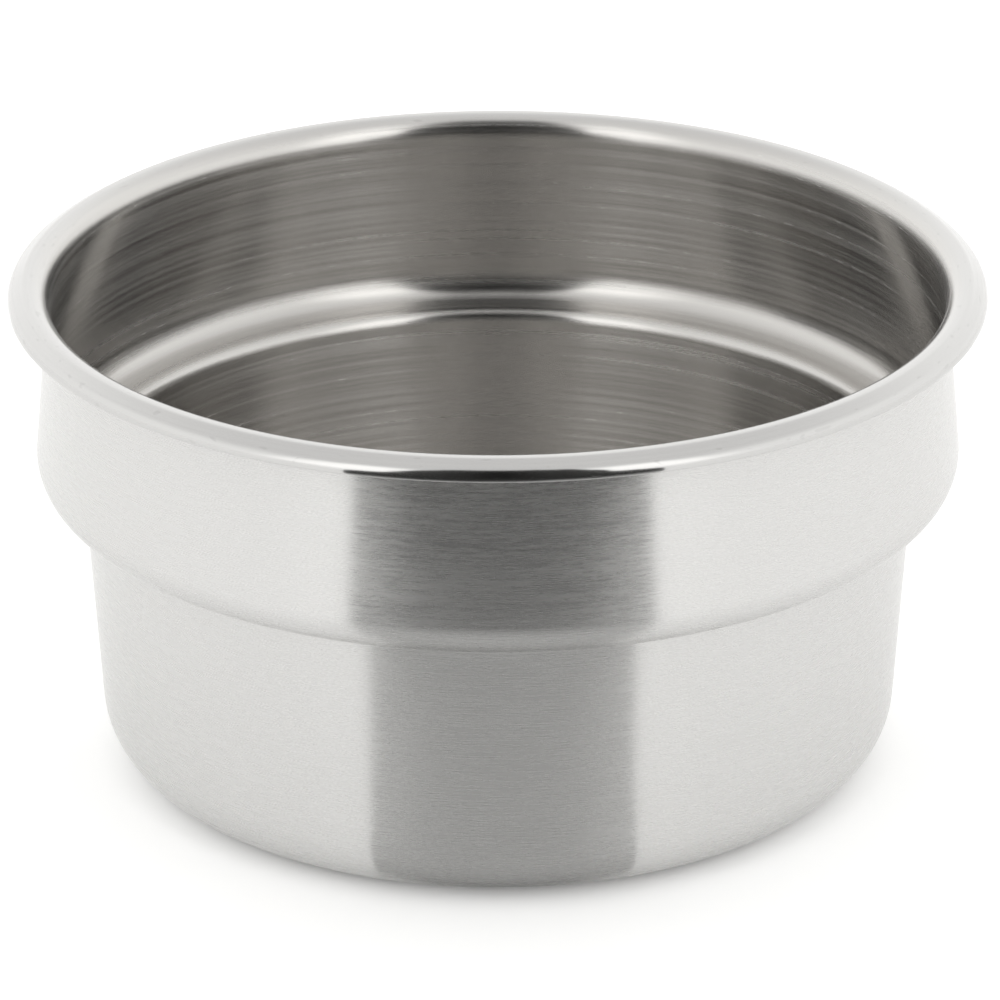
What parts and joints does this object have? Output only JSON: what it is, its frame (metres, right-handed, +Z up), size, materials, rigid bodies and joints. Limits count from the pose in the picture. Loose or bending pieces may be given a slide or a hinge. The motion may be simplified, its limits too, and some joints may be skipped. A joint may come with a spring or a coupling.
{
  "type": "drop-in soup kettle pan",
  "caption": "Round stainless food pan for a soup kettle, with a wide upper band, a stepped shoulder, a narrower flat-bottomed well and a turned-down rim that hangs in a round opening.",
  "frame": {"origin": "centre of the pan's flat underside", "axes": "+Z up along the pan's own axis; every direction across it is alike"},
  "size_m": [0.289, 0.289, 0.1488],
  "materials": {
    "satin_steel": "stainless sheet spun with a fine satin grain that runs round the pan, with a polished rim"
  },
  "bodies": {
    "root": {"inset_pan": "satin_steel"}
  },
  "joints": []
}
